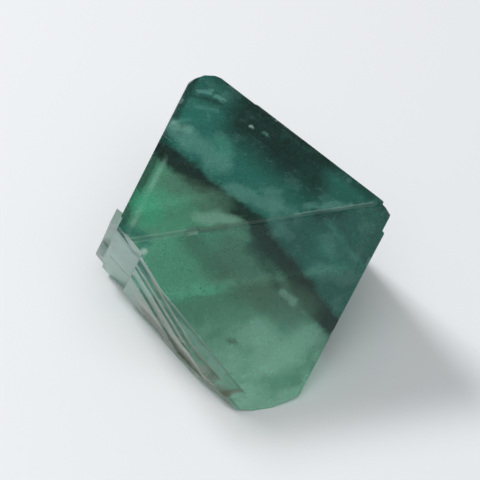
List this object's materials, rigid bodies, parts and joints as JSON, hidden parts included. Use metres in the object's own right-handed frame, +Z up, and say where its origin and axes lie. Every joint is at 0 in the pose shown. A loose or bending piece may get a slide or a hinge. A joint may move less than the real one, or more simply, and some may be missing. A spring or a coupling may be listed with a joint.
{
  "type": "fluorite octahedron",
  "caption": "Loose cleaved fluorite crystal in the form of an octahedron, see-through green with a dark growth band, lying on one face.",
  "frame": {"origin": "middle of the crystal's box, on the surface that it lies on", "axes": "+Z up, square to the face it lies on and to the top face; -Y towards the side where the large front face slopes; +X to the right of that side"},
  "size_m": [0.0292, 0.0282, 0.0195],
  "materials": {
    "fluorite": "see-through green crystal with cleaved, faintly frosted faces, paler at one side and deep blue-green at the other, with a dark band between"
  },
  "bodies": {
    "root": {"fluorite_octahedron": "fluorite"}
  },
  "joints": []
}
